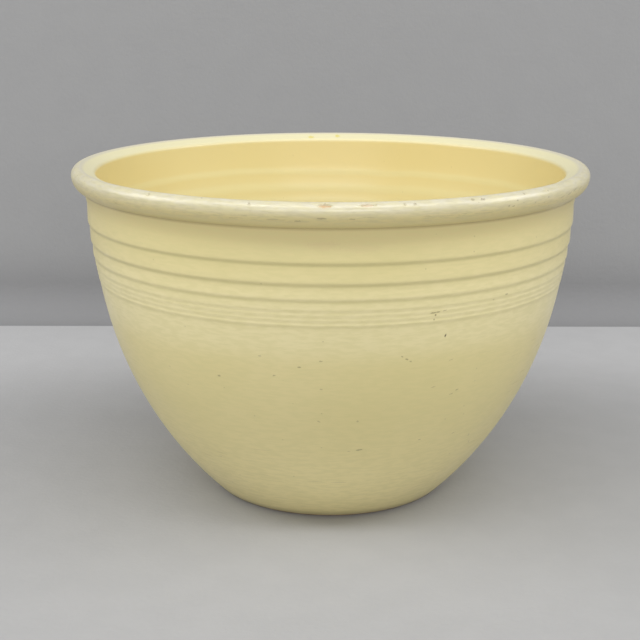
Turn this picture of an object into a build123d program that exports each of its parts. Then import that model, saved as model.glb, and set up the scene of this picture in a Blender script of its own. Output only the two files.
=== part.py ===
from build123d import *
import os
from math import acos, asin, degrees, sqrt

# A deep earthenware mixing bowl, turned about Z and standing on Z = 0. Millimetres.
# The driving sizes are those of the glazed surface. The clay lies one glaze thickness
# under it, so every clay arc shares its centre with the glazed arc above it.

GLAZE = 0.6

# Rolled rim: a round nose that falls inwards to the lip, with a fuller curve underneath
RIM_DIAMETER = 280.0
HEIGHT = 182.0
REACH_HEIGHT = 177.9
UNDERSIDE_RADIUS = 8.8
RIM_SLOPE = 22.0
LIP_RADIUS = 127.2
LIP_ROUNDING = 2.4

# Outside wall: a belly arc running into a flatter shoulder arc, and a straight neck
BELLY_CENTRE = (-82.2, 153.0)
BELLY_RADIUS = 211.6
SHOULDER_HEIGHT = 102.0
SHOULDER_RADIUS = 345.0
NECK_RADIUS = 133.5
NECK_ROUNDING = 1.6

# Turned rings, lowest first: height above the table, and how far each one stands out
REED_HEIGHTS = (121.8, 124.3, 126.8, 129.4)
REED_STEP = 0.45
BAND_HEIGHTS = (134.4, 142.3, 152.3)
BAND_STEP = 0.9
STEP_SLOPE = 0.6

# Inside: wall thickness, the floor and the curve between them
WALL = 7.6
FLOOR_HEIGHT = 11.0
FLOOR_ROUNDING = 34.0

# Underside: a dry foot ring round a shallow recess
FOOT_WIDTH = 7.5
FOOT_ROUNDING = 1.2
RECESS_DEPTH = 3.0
RECESS_ROUNDING = 1.8
WIPED_HEIGHT = 1.4

QUARTER_TURN = 90.0


def arc_reach(centre, radius, height):
    """Distance of an arc from the bowl's axis, at a height."""
    return centre[0] + sqrt(radius**2 - (height - centre[1]) ** 2)


def arc_angle(centre, radius, height):
    """Angle about the arc's centre of its point at a height, in degrees."""
    return degrees(asin((height - centre[1]) / radius))


def turned(x, y, angle):
    """A direction in the section plane, turned anticlockwise by an angle in degrees."""
    return Vector(x, y).rotate(Axis.Z, angle)


def corner_near(line, point):
    """The vertex of a line under construction that lies nearest a point."""
    return line.vertices().sort_by_distance(point)[0]


# Belly and shoulder meet with one tangent, so both centres lie on one line through that point
clay_belly = BELLY_RADIUS - GLAZE
clay_shoulder = SHOULDER_RADIUS - GLAZE
belly_top_angle = arc_angle(BELLY_CENTRE, BELLY_RADIUS, SHOULDER_HEIGHT)
shoulder_centre = Vector(*BELLY_CENTRE) - turned(SHOULDER_RADIUS - BELLY_RADIUS, 0, belly_top_angle)

# Foot: the belly arc carried down to the table, bare below the wiped edge
foot_outer = arc_reach(BELLY_CENTRE, clay_belly, 0.0)
foot_inner = foot_outer - FOOT_WIDTH
foot_angle = arc_angle(BELLY_CENTRE, clay_belly, 0.0)
wiped_angle = arc_angle(BELLY_CENTRE, clay_belly, WIPED_HEIGHT)

# Rim: the nose from outermost reach over the crown, and the fuller curve down to the neck
nose_radius = HEIGHT - REACH_HEIGHT
nose_centre = (RIM_DIAMETER / 2 - nose_radius, REACH_HEIGHT)
clay_nose = nose_radius - GLAZE
under_centre = (RIM_DIAMETER / 2 - UNDERSIDE_RADIUS, REACH_HEIGHT)
clay_under = UNDERSIDE_RADIUS - GLAZE
under_angle = degrees(acos((NECK_RADIUS - GLAZE - under_centre[0]) / clay_under))

# Rim top: a straight fall from the nose to the lip, and the inside wall's arc below it
slope_start = Vector(*nose_centre) + turned(0, clay_nose, RIM_SLOPE)
slope_way = turned(-1, 0, RIM_SLOPE)
slope_length = (slope_start.X - LIP_RADIUS - GLAZE) / -slope_way.X
lip_corner = slope_start + slope_way * slope_length
inner_belly = BELLY_RADIUS - WALL + GLAZE
floor_level = FLOOR_HEIGHT - GLAZE
floor_angle = arc_angle(BELLY_CENTRE, inner_belly, floor_level)
recess_level = RECESS_DEPTH + GLAZE


def ring_points():
    """The rings' stepped profile, upwards: at each line a sharp inner corner, then the ring's lip."""
    points = []
    steps = [(height, REED_STEP) for height in REED_HEIGHTS]
    steps += [(height, BAND_STEP) for height in BAND_HEIGHTS]
    for height, step in steps:
        middle = arc_reach(tuple(shoulder_centre), clay_shoulder, height)
        points.append((middle - step / 2, height))
        points.append((middle + step / 2, height + step * STEP_SLOPE))
    return points


# Outside line, from the wiped edge above the foot up to the crown
rings = ring_points()
with BuildLine() as outside_line:
    belly = CenterArc(BELLY_CENTRE, clay_belly, wiped_angle, belly_top_angle - wiped_angle)
    TangentArc(belly @ 1, rings[0], tangent=belly % 1)
    roll = CenterArc(under_centre, clay_under, -under_angle, under_angle)
    Polyline(*rings, roll @ 0)
    CenterArc(nose_centre, clay_nose, 0, QUARTER_TURN)
    fillet(corner_near(outside_line, roll @ 0), NECK_ROUNDING + GLAZE)

# Inside line, from the crown over the sloping rim top and the lip, down to the floor's centre
with BuildLine() as inside_line:
    CenterArc(nose_centre, clay_nose, QUARTER_TURN, RIM_SLOPE)
    Line(slope_start, lip_corner)
    inner_arc = CenterArc(BELLY_CENTRE, inner_belly, floor_angle, belly_top_angle - floor_angle)
    TangentArc(inner_arc @ 1, lip_corner, tangent=inner_arc % 1)
    Line((0, floor_level), inner_arc @ 0)
    fillet(corner_near(inside_line, lip_corner), LIP_ROUNDING - GLAZE)
    fillet(corner_near(inside_line, inner_arc @ 0), FLOOR_ROUNDING + GLAZE)

# Underside line, from the recess's centre to the wiped edge on the inner side of the foot ring
with BuildLine() as underside_line:
    Polyline((0, recess_level), (foot_inner, recess_level), (foot_inner, WIPED_HEIGHT))
    fillet(corner_near(underside_line, (foot_inner, recess_level)), RECESS_ROUNDING)

# Bare foot ring, between the two wiped edges
with BuildLine() as foot_line:
    Polyline((foot_inner, WIPED_HEIGHT), (foot_inner, 0), (foot_outer, 0))
    CenterArc(BELLY_CENTRE, clay_belly, foot_angle, wiped_angle - foot_angle)
    for foot_edge in (foot_inner, foot_outer):
        fillet(corner_near(foot_line, (foot_edge, 0)), FOOT_ROUNDING)

os.makedirs("parts", exist_ok=True)

# Fired clay: wall, rolled rim, rings, floor and foot ring in one turned piece
with BuildPart() as clay_body:
    with BuildSketch(Plane.XZ):
        with BuildLine():
            add(outside_line.line)
            add(inside_line.line)
            add(underside_line.line)
            add(foot_line.line)
            Line((0, recess_level), (0, floor_level))
        make_face()
    revolve(axis=Axis.Z)
clay_body.part.label = "clay_body"
export_step(clay_body.part, "parts/clay_body.step")


def glaze_coat(name, clay_line):
    """Lay one glaze thickness on the open side of a clay line, and turn it about the bowl's axis."""
    with BuildPart() as coat:
        with BuildSketch(Plane.XZ):
            with BuildLine():
                offset(clay_line, amount=GLAZE, side=Side.RIGHT)
            make_face()
        revolve(axis=Axis.Z)
    coat.part.label = name
    export_step(coat.part, f"parts/{name}.step")


glaze_coat("outer_glaze", outside_line.line)
glaze_coat("inner_glaze", inside_line.line)
glaze_coat("base_glaze", underside_line.line)
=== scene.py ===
import math

import bpy
import numpy as np
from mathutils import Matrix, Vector, noise


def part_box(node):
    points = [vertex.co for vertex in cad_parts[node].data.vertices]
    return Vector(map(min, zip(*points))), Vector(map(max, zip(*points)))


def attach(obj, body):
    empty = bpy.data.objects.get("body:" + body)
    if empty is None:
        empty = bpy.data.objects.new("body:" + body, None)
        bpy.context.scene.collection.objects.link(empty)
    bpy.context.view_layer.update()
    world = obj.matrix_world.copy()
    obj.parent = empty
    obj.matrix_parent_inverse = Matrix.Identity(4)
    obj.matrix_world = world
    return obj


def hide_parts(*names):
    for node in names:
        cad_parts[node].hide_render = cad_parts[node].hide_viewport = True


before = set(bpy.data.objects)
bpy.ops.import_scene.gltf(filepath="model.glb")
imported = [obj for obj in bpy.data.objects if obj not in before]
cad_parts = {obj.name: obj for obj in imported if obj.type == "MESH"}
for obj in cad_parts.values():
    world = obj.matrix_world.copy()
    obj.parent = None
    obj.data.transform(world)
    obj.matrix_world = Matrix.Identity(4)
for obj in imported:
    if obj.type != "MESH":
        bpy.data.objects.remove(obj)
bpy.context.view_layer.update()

# A deep glazed earthenware mixing bowl, turned about Z and standing on Z = 0. Metres.
# Four fused layers are shown: fired clay, and the glaze outside, inside and underneath.
MM = 0.001


def farthest(node):
    """Greatest distance of a CAD node from the bowl's axis."""
    return max(math.hypot(v.co.x, v.co.y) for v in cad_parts[node].data.vertices)


# Sizes taken from the CAD frame
RIM_RADIUS = farthest("outer_glaze")
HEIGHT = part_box("outer_glaze")[1].z
WIPED_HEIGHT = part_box("base_glaze")[0].z
FOOT_INNER = farthest("base_glaze")
FLOOR_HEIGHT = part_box("inner_glaze")[0].z
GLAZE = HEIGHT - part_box("clay_body")[1].z

# Rolled rim. The cove under the roll takes up the first COVE_TURN of the roll's lower curve
REACH_HEIGHT = HEIGHT - 4.1 * MM
UNDERSIDE_RADIUS = 8.8 * MM
RIM_SLOPE = math.radians(22)
LIP_RADIUS = 127.2 * MM
LIP_ROUNDING = 2.4 * MM
COVE_TURN = 0.24  # radians

# Outside wall: belly arc, shoulder arc and neck
BELLY_CENTRE = np.array((-82.2, 153.0)) * MM
BELLY_RADIUS = 211.6 * MM
SHOULDER_HEIGHT = 102.0 * MM
SHOULDER_RADIUS = 345.0 * MM
NECK_RADIUS = 133.5 * MM
NECK_ROUNDING = 1.6 * MM

# Turned rings, lowest first: height, how far the ring stands out, rounding of its lower edge,
# and how strongly the groove under that edge is darkened, by pooled glaze and by painted shade
RINGS = [(z * MM, out * MM, rounding * MM, pooling_and_shade) for z, out, rounding, pooling_and_shade in (
    (121.8, 0.46, 0.9, 0.12),
    (124.3, 0.30, 0.9, 0.02),
    (126.8, 0.30, 0.9, 0.02),
    (129.4, 0.36, 0.9, 0.03),
    (134.4, 0.90, 1.9, 0.27),
    (142.3, 0.90, 1.9, 0.29),
    (152.3, 0.90, 1.9, 0.32))]
# The ringed wall ends a little above the last ring, which fades out over a height of its own
RINGS_TOP = RINGS[-1][0] + 11 * MM
LAST_RING_FADE = 12 * MM
# The glaze evens the rings out over SOFTENING up and down, and sets them lower by RING_SINK
SOFTENING = 0.75 * MM
RING_SINK = 0.3 * MM

# Inside
WALL = 7.6 * MM
FLOOR_ROUNDING = 34.0 * MM

# Underside
FOOT_ROUNDING = 1.2 * MM
RECESS_ROUNDING = 1.8 * MM

# Ridges left inside by turning: height and half width
TURNING_RIDGES = [(z * MM, w * MM) for z, w in (
    (158.8, 3.2), (148.6, 4.2), (140.0, 3.4), (130.0, 4.0), (119.5, 3.6), (109.0, 4.4), (97.0, 3.8),
    (84.0, 4.5), (71.0, 4.0), (57.0, 5.0), (43.0, 4.5))]
RIDGE_LIFT = 0.12 * MM

# Chips in the rim: azimuth in degrees, height, half length, half width and depth
CHIPS = [(azimuth, z * MM, along * MM, across * MM, depth * MM) for azimuth, z, along, across, depth in (
    (-1.3, 180.9, 3.1, 0.75, 0.90),
    (6.6, 181.0, 3.6, 0.45, 0.72),
    (-38.3, 181.0, 0.8, 0.60, 0.45),
    (-15.7, 180.8, 0.7, 0.50, 0.45),
    (13.6, 180.9, 0.6, 0.45, 0.40),
    (15.6, 180.9, 0.6, 0.45, 0.40),
    (29.9, 181.0, 0.9, 0.55, 0.45),
    (112.0, 180.7, 1.2, 0.60, 0.75),
    (206.0, 180.9, 0.9, 0.50, 0.45),
    (-128.0, 180.6, 1.7, 0.70, 0.85))]
# How far a chip is felt and how ragged its edge is, in chip sizes, and features a metre
CHIP_REACH = 1.7
CHIP_RAGGEDNESS = 0.35
RAGGED_GRAIN = 900
BROKEN_GRAIN = 1600

# Mesh density and tolerances
COARSE_STEP = math.radians(1.5)
FINE_STEP = math.radians(0.14)
FINE = 0.36 * MM
BELLY_STEP = 3.2 * MM
INSIDE_STEP = 1.4 * MM
HIDDEN_STEP = 5 * MM
HEEL_STEP = 2.5 * MM
FLAT_STEP = 6 * MM
FOOT_STEP = 0.3 * MM
RING_EDGE_STEP = 0.3 * MM
RING_EDGE_BELOW = 1.1 * MM
RING_EDGE_ABOVE = 0.4 * MM
CLOSEST_ROWS = 0.2 * MM
ON_AXIS = 0.01 * MM
SAME_POINT = 0.02 * MM
SHARP_ANGLE = math.radians(40)

# Lines round the bowl: painted shade in the crease under the roll, and where a stacked bowl rubs the
# glaze
NECK_LINE = 169.2 * MM
RUBBING_LINE = 174.6 * MM

# Colours
YELLOW = (0.785, 0.685, 0.350)
DEEP_YELLOW = (0.755, 0.660, 0.320)
OLIVE_YELLOW = (0.690, 0.620, 0.290)
POOLED_GLAZE_AND_SHADE = (0.600, 0.540, 0.235)
ROLL_SHADE_YELLOW = (0.708, 0.596, 0.286)
RIM_CREAM = (0.676, 0.626, 0.445)
RIM_TOP = (0.765, 0.715, 0.450)
RIM_CROWN = (0.648, 0.608, 0.460)
NECK_CREASE_SHADE = (0.500, 0.395, 0.180)
THIN_YELLOW = (0.850, 0.760, 0.440)
LOWER_WALL_PAINTED_LIGHT = (0.880, 0.770, 0.400)
INSIDE_YELLOW = (0.745, 0.650, 0.328)
INSIDE_DEEP = (0.735, 0.612, 0.280)
INSIDE_THIN = (0.768, 0.700, 0.385)
RUBBED = (0.510, 0.460, 0.270)
SOIL_AND_FOOT_SHADE = (0.270, 0.215, 0.110)
METAL_MARK = (0.350, 0.285, 0.150)
CLAY = (0.620, 0.440, 0.260)
DARK_CLAY = (0.550, 0.370, 0.205)
PALE_CLAY = (0.720, 0.560, 0.370)
DARK = (0.100, 0.075, 0.035)
SPOT_YELLOW = (0.700, 0.600, 0.140)
FLOOR_GREY = (0.400, 0.400, 0.405)
FAR_FLOOR_PAINTED_LIGHT = (0.475, 0.475, 0.480)
BACKDROP_GREY = (0.330, 0.330, 0.333)
BACKDROP_SHADE_AND_MOTTLE_GREY = (0.250, 0.250, 0.255)

# Single marks: azimuth in degrees, height and half sizes in mm, tilt in degrees, strength, stain.
# Azimuth 0 is the front of the bowl, and azimuths grow to the right
MARK_DEPTH = 3 * MM
MARK_RAGGEDNESS = 1.6
MARK_GRAIN = 1500
OUTSIDE_MARKS = [
    (25.6, 114.0, 0.55, 1.15, -12, 0.95, DARK),
    (23.0, 126.8, 1.90, 0.32, 2, 0.75, SOIL_AND_FOOT_SHADE),
    (21.9, 126.6, 1.70, 0.36, 3, 0.70, SOIL_AND_FOOT_SHADE),
    (24.6, 127.2, 1.30, 0.28, 8, 0.50, SOIL_AND_FOOT_SHADE),
    (22.5, 125.4, 0.50, 0.70, 0, 0.75, SOIL_AND_FOOT_SHADE),
    (22.3, 123.1, 0.50, 0.50, 0, 0.65, SOIL_AND_FOOT_SHADE),
    (41.3, 130.4, 1.30, 0.45, 5, 0.50, SOIL_AND_FOOT_SHADE),
    (37.5, 129.0, 0.90, 0.30, 8, 0.35, SOIL_AND_FOOT_SHADE),
    (28.2, 100.5, 1.50, 0.30, 12, 0.30, SOIL_AND_FOOT_SHADE),
    (16.9, 103.5, 0.90, 0.50, -25, 0.60, SOIL_AND_FOOT_SHADE),
    (15.7, 105.3, 0.80, 0.40, -30, 0.50, SOIL_AND_FOOT_SHADE),
    (17.8, 102.3, 1.00, 0.40, -20, 0.45, SOIL_AND_FOOT_SHADE),
    (24.8, 86.5, 1.40, 0.30, 10, 0.40, SOIL_AND_FOOT_SHADE),
    (32.0, 82.6, 1.20, 0.42, 14, 0.45, SOIL_AND_FOOT_SHADE),
    (30.6, 80.8, 1.20, 0.35, 14, 0.45, SOIL_AND_FOOT_SHADE),
    (-2.3, 104.1, 0.90, 0.42, 0, 0.50, SOIL_AND_FOOT_SHADE),
    (-7.1, 100.6, 1.20, 0.48, 0, 0.60, SOIL_AND_FOOT_SHADE),
    (-13.0, 95.5, 0.90, 0.45, 0, 0.50, SOIL_AND_FOOT_SHADE),
    (-15.9, 105.5, 1.10, 0.32, 0, 0.45, SOIL_AND_FOOT_SHADE),
    (-26.9, 92.1, 0.90, 0.52, 0, 0.55, SOIL_AND_FOOT_SHADE),
    (-2.3, 88.9, 0.80, 0.40, 0, 0.40, SOIL_AND_FOOT_SHADE),
    (-3.1, 70.3, 1.10, 0.40, -30, 0.40, SOIL_AND_FOOT_SHADE),
    (6.6, 70.1, 0.70, 0.60, 0, 0.40, SOIL_AND_FOOT_SHADE),
    (7.9, 52.1, 2.10, 0.45, 8, 0.60, SOIL_AND_FOOT_SHADE),
    (4.9, 51.4, 1.00, 0.30, 0, 0.35, SOIL_AND_FOOT_SHADE),
    (25.0, 55.0, 1.00, 0.38, 5, 0.45, SOIL_AND_FOOT_SHADE),
    (36.6, 54.8, 1.40, 0.35, 20, 0.35, SOIL_AND_FOOT_SHADE),
    (44.5, 49.7, 0.45, 1.00, 0, 0.40, SOIL_AND_FOOT_SHADE),
    (47.2, 43.7, 0.45, 1.00, 0, 0.40, SOIL_AND_FOOT_SHADE),
    (3.3, 29.4, 5.50, 0.30, 0, 0.22, SOIL_AND_FOOT_SHADE),
    (-5.4, 30.2, 4.00, 0.28, 2, 0.20, SOIL_AND_FOOT_SHADE),
    (-6.4, 173.8, 2.20, 0.40, 2, 0.55, METAL_MARK),
    (-2.0, 175.2, 2.60, 0.40, 0, 0.65, METAL_MARK),
    (3.7, 174.9, 1.80, 0.35, 0, 0.50, METAL_MARK),
    (27.7, 181.0, 1.10, 0.60, 0, 0.55, SOIL_AND_FOOT_SHADE),
    (30.1, 180.9, 1.20, 0.55, 0, 0.45, SOIL_AND_FOOT_SHADE),
    (36.2, 176.6, 1.00, 0.45, 5, 0.60, SOIL_AND_FOOT_SHADE),
    (37.4, 176.2, 1.30, 0.35, 8, 0.50, SOIL_AND_FOOT_SHADE),
    (38.4, 178.6, 0.80, 0.40, 0, 0.50, SOIL_AND_FOOT_SHADE),
    (40.7, 181.0, 0.90, 0.50, 0, 0.45, SOIL_AND_FOOT_SHADE),
    (48.1, 177.6, 0.90, 0.45, 10, 0.45, SOIL_AND_FOOT_SHADE),
    (54.0, 175.9, 2.20, 0.40, 10, 0.35, METAL_MARK),
    (57.2, 176.4, 3.00, 0.55, 14, 0.50, METAL_MARK),
    (60.2, 177.5, 2.80, 0.60, 16, 0.50, METAL_MARK),
    (63.6, 177.2, 2.40, 0.50, 14, 0.40, METAL_MARK),
    (-38.3, 181.0, 1.10, 0.80, 0, 0.30, SOIL_AND_FOOT_SHADE),
    (-15.7, 180.8, 1.00, 0.70, 0, 0.30, SOIL_AND_FOOT_SHADE),
    (13.6, 180.9, 0.90, 0.60, 0, 0.30, SOIL_AND_FOOT_SHADE),
    (15.6, 180.9, 0.90, 0.60, 0, 0.30, SOIL_AND_FOOT_SHADE),
    (29.9, 181.0, 1.30, 0.70, 0, 0.30, SOIL_AND_FOOT_SHADE),
    (-1.6, 180.6, 3.00, 1.30, 0, 0.35, CLAY),
    (6.4, 180.8, 3.60, 1.00, 0, 0.30, CLAY),
    (-1.5, 161.2, 9.00, 2.60, 0, 0.13, CLAY),
    (6.0, 160.0, 11.0, 2.40, 0, 0.10, CLAY),
]
INSIDE_MARKS = [
    (185.0, 179.9, 2.2, 0.9, 0, 0.75, SPOT_YELLOW),
    (177.6, 180.4, 1.8, 1.0, 0, 0.80, SPOT_YELLOW),
]


# ---------------------------------------------------------------- section of the bowl

def arc_reach(centre, radius, height):
    """Distance of an arc from the bowl's axis, at a height."""
    return centre[0] + math.sqrt(radius**2 - (height - centre[1]) ** 2)


def on_arc(centre, radius, angle):
    """Point of an arc at an angle."""
    return (centre[0] + radius * math.cos(angle), centre[1] + radius * math.sin(angle))


def arc(centre, radius, start, end, step):
    """Points along an arc between two angles, about one step apart."""
    count = max(2, math.ceil(abs(end - start) * radius / step) + 1)
    return [on_arc(centre, radius, angle) for angle in np.linspace(start, end, count)]


def tangent_arc(start, direction, end, step):
    """Points of the arc that leaves start in a direction and passes through end."""
    start, end = np.array(start), np.array(end)
    normal = np.array((-math.sin(direction), math.cos(direction)))
    chord = end - start
    radius = chord @ chord / (2 * (chord @ normal))
    centre = start + normal * radius
    first, last = start - centre, end - centre
    turn = math.atan2(first[0] * last[1] - first[1] * last[0], first @ last)
    begin = math.atan2(first[1], first[0])
    return arc(centre, abs(radius), begin, begin + turn, step)


def straight(start, end, step):
    """Points along a straight line, about one step apart."""
    length = math.hypot(end[0] - start[0], end[1] - start[1])
    count = max(2, math.ceil(length / step) + 1)
    return [tuple(p) for p in np.linspace(start, end, count)]


def rounded(before, corner, after, radius, step):
    """Points of the fillet that rounds a corner between two straight ways."""
    corner = np.array(corner)
    way_in = np.array(before) - corner
    way_out = np.array(after) - corner
    way_in /= np.linalg.norm(way_in)
    way_out /= np.linalg.norm(way_out)
    half = math.acos(np.clip(way_in @ way_out, -1, 1)) / 2
    middle = way_in + way_out
    centre = corner + middle / np.linalg.norm(middle) * radius / math.sin(half)
    first = corner + way_in * radius / math.tan(half) - centre
    last = corner + way_out * radius / math.tan(half) - centre
    start = math.atan2(first[1], first[0])
    turn = math.atan2(first[0] * last[1] - first[1] * last[0], first @ last)
    return arc(centre, radius, start, start + turn, step)


def joined(*stretches):
    """One outline from several stretches, without doubled points."""
    points = []
    for stretch in stretches:
        for point in stretch:
            if not points or math.dist(points[-1], point) > SAME_POINT:
                points.append(tuple(point))
    return points


belly_top = math.asin((SHOULDER_HEIGHT - BELLY_CENTRE[1]) / BELLY_RADIUS)
shoulder_centre = on_arc(BELLY_CENTRE, BELLY_RADIUS - SHOULDER_RADIUS, belly_top)
nose_radius = HEIGHT - REACH_HEIGHT
nose_centre = (RIM_RADIUS - nose_radius, REACH_HEIGHT)
under_centre = (RIM_RADIUS - UNDERSIDE_RADIUS, REACH_HEIGHT)


def step_offset(height):
    """How far the stepped wall stands out from the plain shoulder arc, at a height."""
    heights = [ring[0] for ring in RINGS]
    index = int(np.searchsorted(heights, height, side="right")) - 1
    if index < 0:
        rise = max(0.0, height - SHOULDER_HEIGHT) / (heights[0] - SHOULDER_HEIGHT)
        return -0.5 * RINGS[0][1] * rise**2
    line, step, rounding, pooling_and_shade = RINGS[index]
    above = heights[index + 1] if index + 1 < len(heights) else line + LAST_RING_FADE
    fall = step * (0.5 - min(1.0, (height - line) / (above - line)))
    near = 1 - min(1.0, (height - line) / rounding)
    lip = step * (1 - math.sqrt(max(0.0, 1 - near**2)))
    return fall - lip


def ring_offset(height):
    """The stepped wall softened by the glaze that fills its corners."""
    around = np.linspace(-SOFTENING, SOFTENING, 9) + RING_SINK
    return sum(step_offset(height + shift) for shift in around) / len(around)


def ringed_wall(bottom, top):
    """The ringed wall between two heights, with fine points round each ring's lower edge."""
    heights = [*np.linspace(bottom, top, 26)]
    for line, step, rounding, pooling_and_shade in RINGS:
        edge_top = line + rounding + RING_EDGE_ABOVE
        heights += [*np.arange(line - RING_EDGE_BELOW, edge_top, RING_EDGE_STEP)]
    kept = [bottom]
    for height in sorted(heights):
        if height - kept[-1] > CLOSEST_ROWS and height <= top:
            kept.append(height)
    return [(arc_reach(shoulder_centre, SHOULDER_RADIUS, z) + ring_offset(z), z) for z in kept]


def outside_section(depth, fine):
    """The outside from the wiped edge up to the crown, a given depth under the glazed surface."""
    belly = BELLY_RADIUS - depth
    wiped = math.asin((WIPED_HEIGHT - BELLY_CENTRE[1]) / belly)
    under = UNDERSIDE_RADIUS - depth
    neck = NECK_RADIUS - depth
    meeting = -math.acos((neck - under_centre[0]) / under)
    neck_top = on_arc(under_centre, under, meeting)
    way_up = (neck_top[0] - math.sin(meeting), neck_top[1] + math.cos(meeting))
    if depth == 0:
        rings = ringed_wall(SHOULDER_HEIGHT, RINGS_TOP)
    else:
        rings = [(arc_reach(shoulder_centre, SHOULDER_RADIUS - 2 * depth, z), z)
                 for z in np.linspace(SHOULDER_HEIGHT, RINGS_TOP, 16)]
    cove = rounded(rings[-1], neck_top, way_up, NECK_ROUNDING + depth, fine)
    return joined(
        arc(BELLY_CENTRE, belly, wiped, belly_top, BELLY_STEP),
        rings,
        cove,
        arc(under_centre, under, meeting + COVE_TURN, 0, fine),
        arc(nose_centre, nose_radius - depth, 0, math.pi / 2, fine),
    )


def inside_section(depth, fine):
    """The inside from the crown down to the floor's centre, a given depth under the glazed surface."""
    nose = nose_radius - depth
    slope_start = on_arc(nose_centre, nose, math.pi / 2 + RIM_SLOPE)
    lip_reach = LIP_RADIUS + depth
    run = slope_start[0] - lip_reach
    lip = (lip_reach, slope_start[1] - run * math.tan(RIM_SLOPE))
    inner = BELLY_RADIUS - WALL + depth
    floor = FLOOR_HEIGHT + GLAZE - depth
    wall_top = on_arc(BELLY_CENTRE, inner, belly_top)
    floor_angle = math.asin((floor - BELLY_CENTRE[1]) / inner)
    heel = on_arc(BELLY_CENTRE, inner, floor_angle)
    spacing = INSIDE_STEP if depth == 0 else HIDDEN_STEP
    upper = tangent_arc(wall_top, belly_top + math.pi / 2, lip, spacing)
    lip_curve = rounded(slope_start, lip, upper[-2], LIP_ROUNDING - depth, fine)
    heel_way = (heel[0] - math.sin(floor_angle), heel[1] + math.cos(floor_angle))
    heel_curve = rounded(heel_way, heel, (0, floor), FLOOR_ROUNDING + depth, HEEL_STEP)
    wall_low = math.asin((heel_curve[0][1] - BELLY_CENTRE[1]) / inner)
    below_lip = [p for p in reversed(upper) if p[1] < lip_curve[-1][1] - fine]
    return joined(
        arc(nose_centre, nose, math.pi / 2, math.pi / 2 + RIM_SLOPE, fine),
        straight(slope_start, lip_curve[0], fine),
        lip_curve,
        below_lip,
        arc(BELLY_CENTRE, inner, belly_top, wall_low, 1.5 * spacing),
        heel_curve,
        straight(heel_curve[-1], (0, floor), FLAT_STEP),
    )


def ridged(section):
    """The inside section with its turning ridges standing out from the wall."""
    raised = []
    for reach, height in section:
        lift = sum(RIDGE_LIFT * max(0.0, 1 - ((height - ridge) / width) ** 2) ** 2
                   for ridge, width in TURNING_RIDGES)
        raised.append((reach - lift, height) if reach > 0.5 * RIM_RADIUS else (reach, height))
    return raised


def reach_on(section, height):
    """Distance of a section from the axis, at a height."""
    ordered = sorted(section, key=lambda point: point[1])
    return float(np.interp(height, [p[1] for p in ordered], [p[0] for p in ordered]))


def underside_section(depth):
    """The recess from its centre out to the wiped edge, a given depth above the glazed surface."""
    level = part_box("base_glaze")[1].z - GLAZE + depth
    reach = FOOT_INNER - GLAZE + depth
    corner = (reach, level)
    bend = rounded((0, level), corner, (reach, WIPED_HEIGHT), RECESS_ROUNDING - GLAZE + depth, 0.4 * MM)
    edge = straight(bend[-1], (reach, WIPED_HEIGHT), 0.5 * MM)
    return joined(straight((0, level), bend[0], FLAT_STEP), bend, edge)


def foot_section():
    """The bare foot ring, from the wiped edge inside it round to the wiped edge outside."""
    belly = BELLY_RADIUS - GLAZE
    outer = arc_reach(BELLY_CENTRE, belly, 0)
    inner_edge = (FOOT_INNER, WIPED_HEIGHT)
    outer_edge = (arc_reach(BELLY_CENTRE, belly, WIPED_HEIGHT), WIPED_HEIGHT)
    inner_turn = rounded(inner_edge, (FOOT_INNER, 0), (outer, 0), FOOT_ROUNDING, FOOT_STEP)
    outer_turn = rounded((FOOT_INNER, 0), (outer, 0), outer_edge, FOOT_ROUNDING, FOOT_STEP)
    standing = straight(inner_turn[-1], outer_turn[0], 1 * MM)
    return joined([inner_edge], inner_turn, standing, outer_turn, [outer_edge])


# ---------------------------------------------------------------- chips in the rolled rim

def bearing(azimuth):
    """Angle round Z of an azimuth in degrees: 0 faces the front, positive turns to the right."""
    return math.radians(azimuth - 90)


def nose_reach(height):
    """Distance of the rim's nose from the axis, at a height above the widest line."""
    return nose_centre[0] + math.sqrt(nose_radius**2 - (height - nose_centre[1]) ** 2)


def chip_frame(azimuth, height):
    """Centre of a chip on the nose, and the directions outward, along the rim and across it."""
    angle = bearing(azimuth)
    away = np.array((math.cos(angle), math.sin(angle), 0))
    centre = away * nose_reach(height) + np.array((0, 0, height))
    outward = centre - away * nose_centre[0] - np.array((0, 0, nose_centre[1]))
    outward /= np.linalg.norm(outward)
    along = np.array((-math.sin(angle), math.cos(angle), 0))
    return centre, outward, along, np.cross(outward, along)


def press_chips(points, glazed):
    """Press the rim in at every chip. The glaze sinks under the clay, the clay is only hollowed."""
    points = np.array(points)
    for azimuth, height, half_length, half_width, depth in CHIPS:
        centre, outward, along, across = chip_frame(azimuth, height)
        offset = points - centre
        distance = np.hypot(offset @ along / half_length, offset @ across / half_width)
        near = (distance < CHIP_REACH) & (np.linalg.norm(offset, axis=1) < 2 * half_length + 1 * MM)
        for i in np.flatnonzero(near):
            ragged = distance[i] + CHIP_RAGGEDNESS * noise.noise(Vector(points[i]) * RAGGED_GRAIN)
            if glazed:
                press = depth * np.clip((1.25 - ragged) / 0.45, 0, 1)
            else:
                grain = 0.7 + 0.3 * noise.noise(Vector(points[i]) * BROKEN_GRAIN)
                press = max(0.0, depth - GLAZE) * grain * np.clip(1.35 - ragged, 0, 1)
            points[i] -= outward * press
    return points


# ---------------------------------------------------------------- turning a section into a mesh

def spaced_angles():
    """Angles round the bowl: evenly spaced, with closer ones across every chip."""
    angles = list(np.arange(0, 2 * math.pi - 1e-6, COARSE_STEP))
    for azimuth, height, half_length, half_width, depth in CHIPS:
        half = CHIP_REACH * half_length / RIM_RADIUS
        count = math.ceil(2 * half / FINE_STEP) + 1
        angles.extend(np.linspace(bearing(azimuth) - half, bearing(azimuth) + half, count))
    angles = np.sort(np.mod(angles, 2 * math.pi))
    gaps = np.diff(angles, append=angles[0] + 2 * math.pi)
    return angles[gaps > 0.6 * FINE_STEP]


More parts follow.
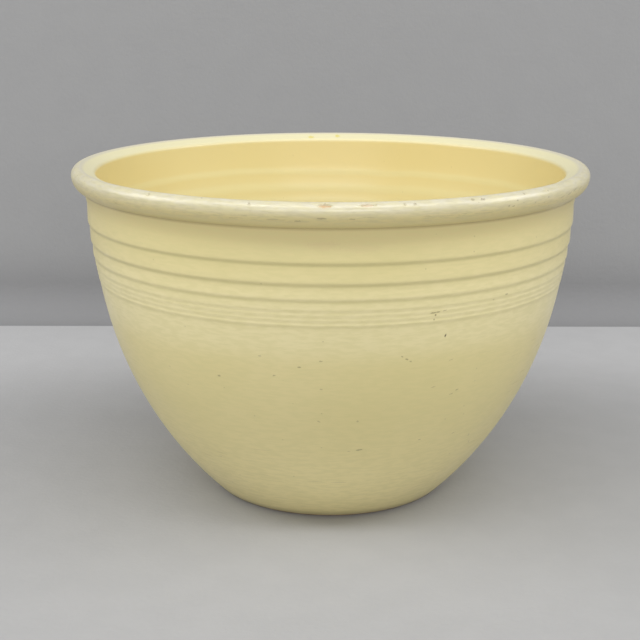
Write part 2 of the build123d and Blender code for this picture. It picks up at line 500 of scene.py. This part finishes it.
def turned(name, section, glazed=True):
    """A section turned about Z, its rim chipped. Points on the axis become one vertex each."""
    cosines, sines = np.cos(angles), np.sin(angles)
    vertices, rows = [], []
    for reach, height in section:
        first = len(vertices)
        if reach < ON_AXIS:
            vertices.append((0.0, 0.0, height))
            rows.append([first] * len(angles))
        else:
            vertices.extend(zip(reach * cosines, reach * sines, [height] * len(angles)))
            rows.append(list(range(first, first + len(angles))))
    closed = section[0][0] >= ON_AXIS
    pairs = list(zip(rows, rows[1:] + rows[:1])) if closed else list(zip(rows, rows[1:]))
    faces = []
    for low, high in pairs:
        for i in range(len(angles)):
            j = (i + 1) % len(angles)
            corners = (low[i], low[j], high[j], high[i])
            faces.append(tuple(dict.fromkeys(corners)))
    mesh = bpy.data.meshes.new(name)
    mesh.from_pydata(press_chips(vertices, glazed).tolist(), [], faces)
    mesh.validate()
    mesh.update()
    return mesh


def show(mesh, surface, node):
    """Put a mesh in the scene in place of its CAD node."""
    mesh.shade_smooth()
    mesh.set_sharp_from_angle(angle=SHARP_ANGLE)
    mesh.materials.append(surface)
    piece = bpy.data.objects.new(mesh.name, mesh)
    bpy.context.scene.collection.objects.link(piece)
    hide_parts(node)
    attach(piece, "root")


# ---------------------------------------------------------------- building materials from patterns

class Surface:
    """A node material whose patterns are laid over the object in metres."""

    def __init__(self, name):
        self.material = bpy.data.materials.new(name)
        self.material.use_nodes = True
        self.tree = self.material.node_tree
        self.shader = self.tree.nodes["Principled BSDF"]
        self.place = self.tree.nodes.new("ShaderNodeTexCoord").outputs["Object"]
        split = self.tree.nodes.new("ShaderNodeSeparateXYZ")
        self.plug(split.inputs["Vector"], self.place)
        self.height = split.outputs["Z"]
        self.depth = split.outputs["Y"]

    def plug(self, socket, value):
        """Feed a socket from another node, or set it to a constant."""
        if isinstance(value, bpy.types.NodeSocket):
            self.tree.links.new(value, socket)
        elif isinstance(value, tuple) and socket.type == "RGBA":
            socket.default_value = (*value, 1)
        else:
            socket.default_value = value

    def maths(self, operation, first, second=0.0):
        """One operation on two values."""
        made = self.tree.nodes.new("ShaderNodeMath")
        made.operation = operation
        self.plug(made.inputs[0], first)
        self.plug(made.inputs[1], second)
        return made.outputs["Value"]

    def times(self, first, second):
        """One value times another."""
        return self.maths("MULTIPLY", first, second)

    def away(self, value, middle):
        """How far a value is from another one, to either side."""
        return self.maths("ABSOLUTE", self.maths("SUBTRACT", value, middle))

    def span(self, value, low, high, start=0.0, end=1.0):
        """Carry a value from low..high smoothly to start..end."""
        made = self.tree.nodes.new("ShaderNodeMapRange")
        made.interpolation_type = "SMOOTHSTEP"
        self.plug(made.inputs["Value"], value)
        made.inputs["From Min"].default_value = low
        made.inputs["From Max"].default_value = high
        made.inputs["To Min"].default_value = start
        made.inputs["To Max"].default_value = end
        return made.outputs["Result"]

    def framed(self, kind, location, rotation, scale):
        """The object's coordinates, moved, turned and scaled."""
        made = self.tree.nodes.new("ShaderNodeMapping")
        made.vector_type = kind
        made.inputs["Location"].default_value = location
        made.inputs["Rotation"].default_value = rotation
        made.inputs["Scale"].default_value = scale
        self.plug(made.inputs["Vector"], self.place)
        return made.outputs["Vector"]

    def noise(self, scale, detail=2, stretch=1, seed=0):
        """Noise from 0 to 1 with so many features a metre, more of them up the bowl if stretched."""
        made = self.tree.nodes.new("ShaderNodeTexNoise")
        spread = (scale, scale, scale * stretch)
        self.plug(made.inputs["Vector"], self.framed("POINT", (seed, seed, seed), (0, 0, 0), spread))
        made.inputs["Scale"].default_value = 1
        made.inputs["Detail"].default_value = detail
        return made.outputs["Fac"]

    def specks(self, scale, radius, share, seed=0):
        """Round specks: 1 inside, 0 outside. Share is the part of all cells that hold one."""
        made = self.tree.nodes.new("ShaderNodeTexVoronoi")
        spread = (scale, scale, scale)
        self.plug(made.inputs["Vector"], self.framed("POINT", (seed, seed, seed), (0, 0, 0), spread))
        made.inputs["Scale"].default_value = 1
        size = radius * scale
        dot = self.span(made.outputs["Distance"], size, 0.5 * size)
        split = self.tree.nodes.new("ShaderNodeSeparateXYZ")
        self.plug(split.inputs["Vector"], made.outputs["Color"])
        return self.times(dot, self.maths("LESS_THAN", split.outputs["X"], share))

    def spot(self, place, size, tilt, ragged):
        """One ragged oval on the wall: 1 inside, 0 outside."""
        angle = math.atan2(place[1], place[0])
        local = self.framed("TEXTURE", place, (tilt, 0, angle), size)
        length = self.tree.nodes.new("ShaderNodeVectorMath")
        length.operation = "LENGTH"
        self.plug(length.inputs[0], local)
        return self.span(self.maths("ADD", length.outputs["Value"], ragged), 1.0, 0.6)

    def backfacing(self):
        """1 where the surface is seen from behind, else 0."""
        return self.tree.nodes.new("ShaderNodeNewGeometry").outputs["Backfacing"]

    def blend(self, factor, colour, other):
        """Mix two colours, none of the second at factor 0."""
        made = self.tree.nodes.new("ShaderNodeMix")
        made.data_type = "RGBA"
        self.plug(made.inputs["Factor"], factor)
        self.plug(made.inputs[6], colour)
        self.plug(made.inputs[7], other)
        return made.outputs[2]

    def bump(self, height, distance, normal=None):
        """Raise the surface by a value times a distance."""
        made = self.tree.nodes.new("ShaderNodeBump")
        made.inputs["Strength"].default_value = 1
        made.inputs["Distance"].default_value = distance
        self.plug(made.inputs["Height"], height)
        if normal is not None:
            self.plug(made.inputs["Normal"], normal)
        return made.outputs["Normal"]

    def finish(self, colour, roughness, normal):
        """Feed the shader and hand over the material."""
        self.plug(self.shader.inputs["Base Color"], colour)
        self.plug(self.shader.inputs["Roughness"], roughness)
        self.plug(self.shader.inputs["Normal"], normal)
        return self.material


# ---------------------------------------------------------------- materials

def marked(look, colour, marks, section):
    """Lay single marks over a colour, each with its own place, size, tilt and stain."""
    ragged = look.maths("SUBTRACT", look.noise(MARK_GRAIN, 2), 0.5)
    ragged = look.times(ragged, MARK_RAGGEDNESS)
    for azimuth, height, half_length, half_height, tilt, strength, stain in marks:
        angle = bearing(azimuth)
        reach = reach_on(section, height * MM)
        place = (reach * math.cos(angle), reach * math.sin(angle), height * MM)
        size = (MARK_DEPTH, half_length * MM, half_height * MM)
        mark = look.spot(place, size, math.radians(tilt), ragged)
        colour = look.blend(look.times(mark, strength), colour, stain)
    return colour


def outside_glaze():
    """Worn satin yellow glaze: darker where it pools under the rings, with painted shade there, under
    the roll and at the foot, painted light on the lower wall, fine turning scratches, pits and scuffs.
    """
    look = Surface("outside_glaze")
    cloud = look.span(look.noise(11, 2), 0.35, 0.68)
    colour = look.blend(cloud, YELLOW, DEEP_YELLOW)
    # Painted shade: from the neck up, under and on the roll, the glaze is blended to a darker yellow
    colour = look.blend(look.span(look.height, 155 * MM, 167 * MM), colour, ROLL_SHADE_YELLOW)
    colour = look.blend(look.span(look.height, 174 * MM, 180 * MM), colour, RIM_CREAM)
    colour = look.blend(look.span(look.height, 179.0 * MM, 181.2 * MM), colour, RIM_CROWN)
    shoulder = look.span(look.height, 98 * MM, 114 * MM)
    shoulder = look.times(shoulder, look.span(look.height, 152 * MM, 126 * MM))
    colour = look.blend(look.times(shoulder, 0.75), colour, THIN_YELLOW)
    # Painted light: the lower wall is blended to a paler yellow, standing in for light from below
    colour = look.blend(look.span(look.height, 75 * MM, 12 * MM), colour, LOWER_WALL_PAINTED_LIGHT)
    # Painted shade: the glaze darkens over the last few millimetres above the wiped edge, where the foot
    # meets the floor
    colour = look.blend(look.span(look.height, 6 * MM, 1 * MM, 0, 0.50), colour, SOIL_AND_FOOT_SHADE)

    streaks = look.span(look.noise(150, 4, stretch=4.5, seed=15), 0.36, 0.64)
    colour = look.blend(look.times(streaks, 0.36), colour, OLIVE_YELLOW)
    rubbed = look.span(look.noise(170, 4, stretch=6, seed=17), 0.42, 0.64)
    rubbed = look.times(rubbed, look.span(look.height, 171 * MM, 174 * MM, 0, 0.34))
    colour = look.blend(rubbed, colour, RUBBED)

    # Darker grooves under each ring's lower edge: pooled glaze, and partly painted shade under the
    # overhang
    groove_pool_and_shade = 0.0
    for line, step, rounding, pooling_and_shade in RINGS:
        below = look.away(look.height, line - 0.5 * MM)
        groove_pool_and_shade = look.maths("MAXIMUM", groove_pool_and_shade, look.span(below, 1.5 * MM, 0.3 * MM, 0, pooling_and_shade))
    colour = look.blend(groove_pool_and_shade, colour, POOLED_GLAZE_AND_SHADE)
    # Painted shade: a dark brown line in the crease where the roll meets the neck
    neck = look.away(look.height, NECK_LINE)
    colour = look.blend(look.span(neck, 1.4 * MM, 0.2 * MM, 0, 0.55), colour, NECK_CREASE_SHADE)

    hairs = look.span(look.noise(55, 3, stretch=17, seed=7), 0.62, 0.74)
    hairs = look.times(hairs, look.span(look.noise(14, 1, seed=9), 0.40, 0.60))
    hairs = look.times(hairs, look.span(look.height, 125 * MM, 105 * MM, 0.25, 1))
    colour = look.blend(look.times(hairs, 0.16), colour, SOIL_AND_FOOT_SHADE)
    flecks = look.specks(210, 0.5 * MM, 0.16, seed=4)
    colour = look.blend(look.times(flecks, 0.30), colour, SOIL_AND_FOOT_SHADE)
    pits = look.specks(300, 0.55 * MM, 0.15, seed=11)
    crown = look.times(pits, look.span(look.height, 172 * MM, 179.5 * MM))
    colour = look.blend(look.times(crown, 0.60), colour, SOIL_AND_FOOT_SHADE)

    contact = look.away(look.height, RUBBING_LINE)
    contact = look.span(contact, 2.0 * MM, 0.6 * MM)
    dashes = look.span(look.noise(170, 3, stretch=9, seed=5), 0.56, 0.66)
    dashes = look.times(dashes, look.span(look.noise(26, 1, seed=6), 0.42, 0.58))
    scuffs = look.times(look.times(contact, dashes), 0.40)
    colour = look.blend(scuffs, colour, METAL_MARK)
    colour = marked(look, colour, OUTSIDE_MARKS, outside)

    roughness = look.span(look.noise(40, 4, seed=2), 0.3, 0.7, 0.29, 0.40)
    roughness = look.maths("ADD", roughness, look.times(hairs, 0.15))
    shine = look.span(look.height, 174 * MM, 178 * MM, 0.5, 1.0)
    look.plug(look.shader.inputs["Specular IOR Level"], shine)
    ripple = look.bump(look.noise(110, 2, seed=8), 0.025 * MM)
    ripple = look.bump(look.noise(800, 3, seed=12), 0.008 * MM, ripple)
    marks = look.maths("ADD", look.maths("ADD", hairs, flecks), look.maths("ADD", crown, rubbed))
    scored = look.bump(marks, -0.03 * MM, ripple)
    return look.finish(colour, roughness, scored)


def inside_glaze():
    """Glossier yellow glaze with paler bands where it runs thin over the turning ridges."""
    look = Surface("inside_glaze")
    cloud = look.span(look.noise(13, 2, seed=1), 0.35, 0.68, 0, 0.35)
    deeper = look.maths("ADD", cloud, look.span(look.height, 143 * MM, 168 * MM, 0, 0.65))
    colour = look.blend(deeper, INSIDE_YELLOW, INSIDE_DEEP)
    waver = look.times(look.maths("SUBTRACT", look.noise(16, 2, seed=5), 0.5), 5 * MM)
    level = look.maths("ADD", look.height, waver)
    thin = 0.0
    for ridge, half_width in TURNING_RIDGES:
        near = look.away(level, ridge)
        thin = look.maths("MAXIMUM", thin, look.span(near, half_width, 0.15 * half_width))
    colour = look.blend(look.times(thin, 0.50), colour, INSIDE_THIN)
    colour = look.blend(look.span(look.height, 176.9 * MM, 179.3 * MM), colour, RIM_TOP)
    colour = look.blend(look.span(look.height, 181.0 * MM, 181.9 * MM), colour, RIM_CROWN)
    flecks = look.specks(170, 0.35 * MM, 0.10, seed=2)
    colour = look.blend(look.times(flecks, 0.35), colour, SOIL_AND_FOOT_SHADE)
    on_floor = look.span(look.height, 45 * MM, 12 * MM)
    scrapes = look.times(look.span(look.noise(420, 2, seed=9), 0.60, 0.72), on_floor)
    colour = look.blend(look.times(scrapes, 0.18), colour, METAL_MARK)
    colour = marked(look, colour, INSIDE_MARKS, inside)

    roughness = look.span(look.noise(35, 4, seed=2), 0.3, 0.7, 0.29, 0.36)
    roughness = look.maths("ADD", roughness, look.times(on_floor, 0.12))
    ripple = look.bump(look.noise(110, 2, seed=8), 0.02 * MM)
    ripple = look.bump(look.noise(800, 3, seed=12), 0.006 * MM, ripple)
    return look.finish(colour, roughness, ripple)


def fired_clay():
    """Buff earthenware: sandy grain, pores, and a soiled foot."""
    look = Surface("fired_clay")
    colour = look.blend(look.span(look.noise(60, 4), 0.3, 0.7), CLAY, DARK_CLAY)
    grain = look.noise(2200, 3, seed=2)
    colour = look.blend(look.span(grain, 0.5, 0.75, 0, 0.5), colour, PALE_CLAY)
    pores = look.specks(900, 0.22 * MM, 0.35, seed=6)
    colour = look.blend(look.times(pores, 0.6), colour, SOIL_AND_FOOT_SHADE)
    dirt = look.span(look.noise(130, 4, seed=5), 0.35, 0.65)
    dirt = look.times(look.span(look.height, 0.9 * MM, 0.1 * MM), dirt)
    colour = look.blend(look.times(dirt, 0.6), colour, METAL_MARK)
    roughness = look.span(grain, 0.3, 0.7, 0.75, 0.95)
    sandy = look.bump(grain, 0.08 * MM)
    return look.finish(colour, roughness, look.bump(pores, -0.1 * MM, sandy))


def paper(name, colour, other, other_part):
    """Plain matt grey that turns into another grey over a part of it, seen from its front only."""
    look = Surface(name)
    value, low, high = other_part(look)
    shade = look.blend(look.span(value, low, high), colour, other)
    cloud = look.times(look.span(look.noise(45, 4), 0.35, 0.65), 0.06)
    shade = look.blend(cloud, shade, BACKDROP_SHADE_AND_MOTTLE_GREY)
    look.finish(shade, 0.9, look.bump(look.noise(300, 3), 0.2 * MM))
    look.plug(look.shader.inputs["Alpha"], look.maths("SUBTRACT", 1.0, look.backfacing()))
    return look.material


# ---------------------------------------------------------------- the bowl

angles = spaced_angles()
outside = outside_section(0.0, FINE)
outside_back = outside_section(GLAZE, 2 * FINE)
inside = ridged(inside_section(0.0, FINE))
inside_back = inside_section(GLAZE, 3 * FINE)
recess = underside_section(0.0)
recess_back = underside_section(GLAZE)
body = joined(recess_back, foot_section(), outside_back, inside_back)

worn_glaze = outside_glaze()
outer_coat = turned("outer_glaze_coat", outside + outside_back[::-1])
inner_coat = turned("inner_glaze_coat", inside_back[::-1] + inside)
base_coat = turned("base_glaze_coat", recess + recess_back[::-1])
clay = turned("fired_clay", body, glazed=False)
show(outer_coat, worn_glaze, "outer_glaze")
show(inner_coat, inside_glaze(), "inner_glaze")
show(base_coat, worn_glaze, "base_glaze")
show(clay, fired_clay(), "clay_body")


# ---------------------------------------------------------------- stage, light and camera

# Camera: place in rim radii, how far it looks down, tips and turns in degrees, focal length in mm
EYE = (-0.0374, -5.10, 1.993)
LOOK_DOWN, TIP, SWING = 14.685, -0.08, 0.042
FOCAL_LENGTH, SENSOR_WIDTH = 73.4, 36.0
LIGHT_TARGET = (0, 0, 0.1)


def sheet(name, outline, width, surface):
    """A sheet that follows an outline of (Y, Z) points, spread evenly to both sides."""
    vertices = [(side * width / 2, y, z) for y, z in outline for side in (-1, 1)]
    faces = [(2 * i, 2 * i + 1, 2 * i + 3, 2 * i + 2) for i in range(len(outline) - 1)]
    mesh = bpy.data.meshes.new(name)
    mesh.from_pydata(vertices, [], faces)
    mesh.shade_smooth()
    mesh.materials.append(surface)
    piece = bpy.data.objects.new(name, mesh)
    bpy.context.scene.collection.objects.link(piece)


def studio():
    """A plain pale floor, and a darker sheet that hangs behind the bowl."""
    front, back, width = -1.6, 0.33, 3.0
    rise, sweep = 0.42, 0.03
    turns = np.linspace(0, math.pi / 2, 9)
    bend = [(back + sweep * math.sin(t), sweep - sweep * math.cos(t)) for t in turns]
    # Painted light: the floor is painted paler towards the back
    floor_paper = paper("floor", FLOOR_GREY, FAR_FLOOR_PAINTED_LIGHT,
                        lambda look: (look.depth, 0.10, 0.26))
    # Painted shade: the backdrop darkens towards its foot, where it meets the floor
    hanging_paper = paper("backdrop", BACKDROP_GREY, BACKDROP_SHADE_AND_MOTTLE_GREY,
                          lambda look: (look.height, 0.07, 0.01))
    sheet("floor", [(front, 0.0), (back, 0.0)], width, floor_paper)
    sheet("backdrop", bend + [(back + sweep, rise)], width, hanging_paper)


def softbox(name, place, size, power):
    """A rectangular area light aimed at the bowl."""
    lamp = bpy.data.lights.new(name, "AREA")
    lamp.shape = "RECTANGLE"
    lamp.size, lamp.size_y = size
    lamp.energy = power
    light = bpy.data.objects.new(name, lamp)
    light.location = place
    way = Vector(LIGHT_TARGET) - Vector(place)
    light.rotation_euler = way.to_track_quat("-Z", "Y").to_euler()
    bpy.context.scene.collection.objects.link(light)


def surround(strength):
    """Even grey light from all round."""
    world = bpy.data.worlds.new("surround")
    world.use_nodes = True
    background = world.node_tree.nodes["Background"]
    background.inputs["Color"].default_value = (1, 1, 1, 1)
    background.inputs["Strength"].default_value = strength
    bpy.context.scene.world = world


def camera():
    """The camera stands five rim radii in front of the bowl, looking down into it a little."""
    lens = bpy.data.cameras.new("camera")
    lens.sensor_width = SENSOR_WIDTH
    lens.lens = FOCAL_LENGTH
    eye = bpy.data.objects.new("camera", lens)
    eye.location = [share * RIM_RADIUS for share in EYE]
    eye.rotation_euler = (math.radians(90 - LOOK_DOWN), math.radians(TIP), math.radians(SWING))
    bpy.context.scene.collection.objects.link(eye)
    bpy.context.scene.camera = eye


studio()
softbox("key", place=(0, -0.7, 1.4), size=(1.8, 0.25), power=9.6)
softbox("over", place=(0, -0.3, 1.4), size=(2.2, 0.5), power=3.0)
softbox("front", place=(0, -1.6, 0.6), size=(1.6, 0.5), power=9.4)
softbox("left", place=(-1.35, -0.1, 0.95), size=(0.9, 0.9), power=8.4)
softbox("right", place=(1.35, -0.1, 0.95), size=(0.9, 0.9), power=7.8)
softbox("back", place=(0, 0.95, 1.15), size=(1.6, 0.5), power=0.7)
surround(0.32)
camera()
bpy.context.scene.view_settings.view_transform = "Standard"
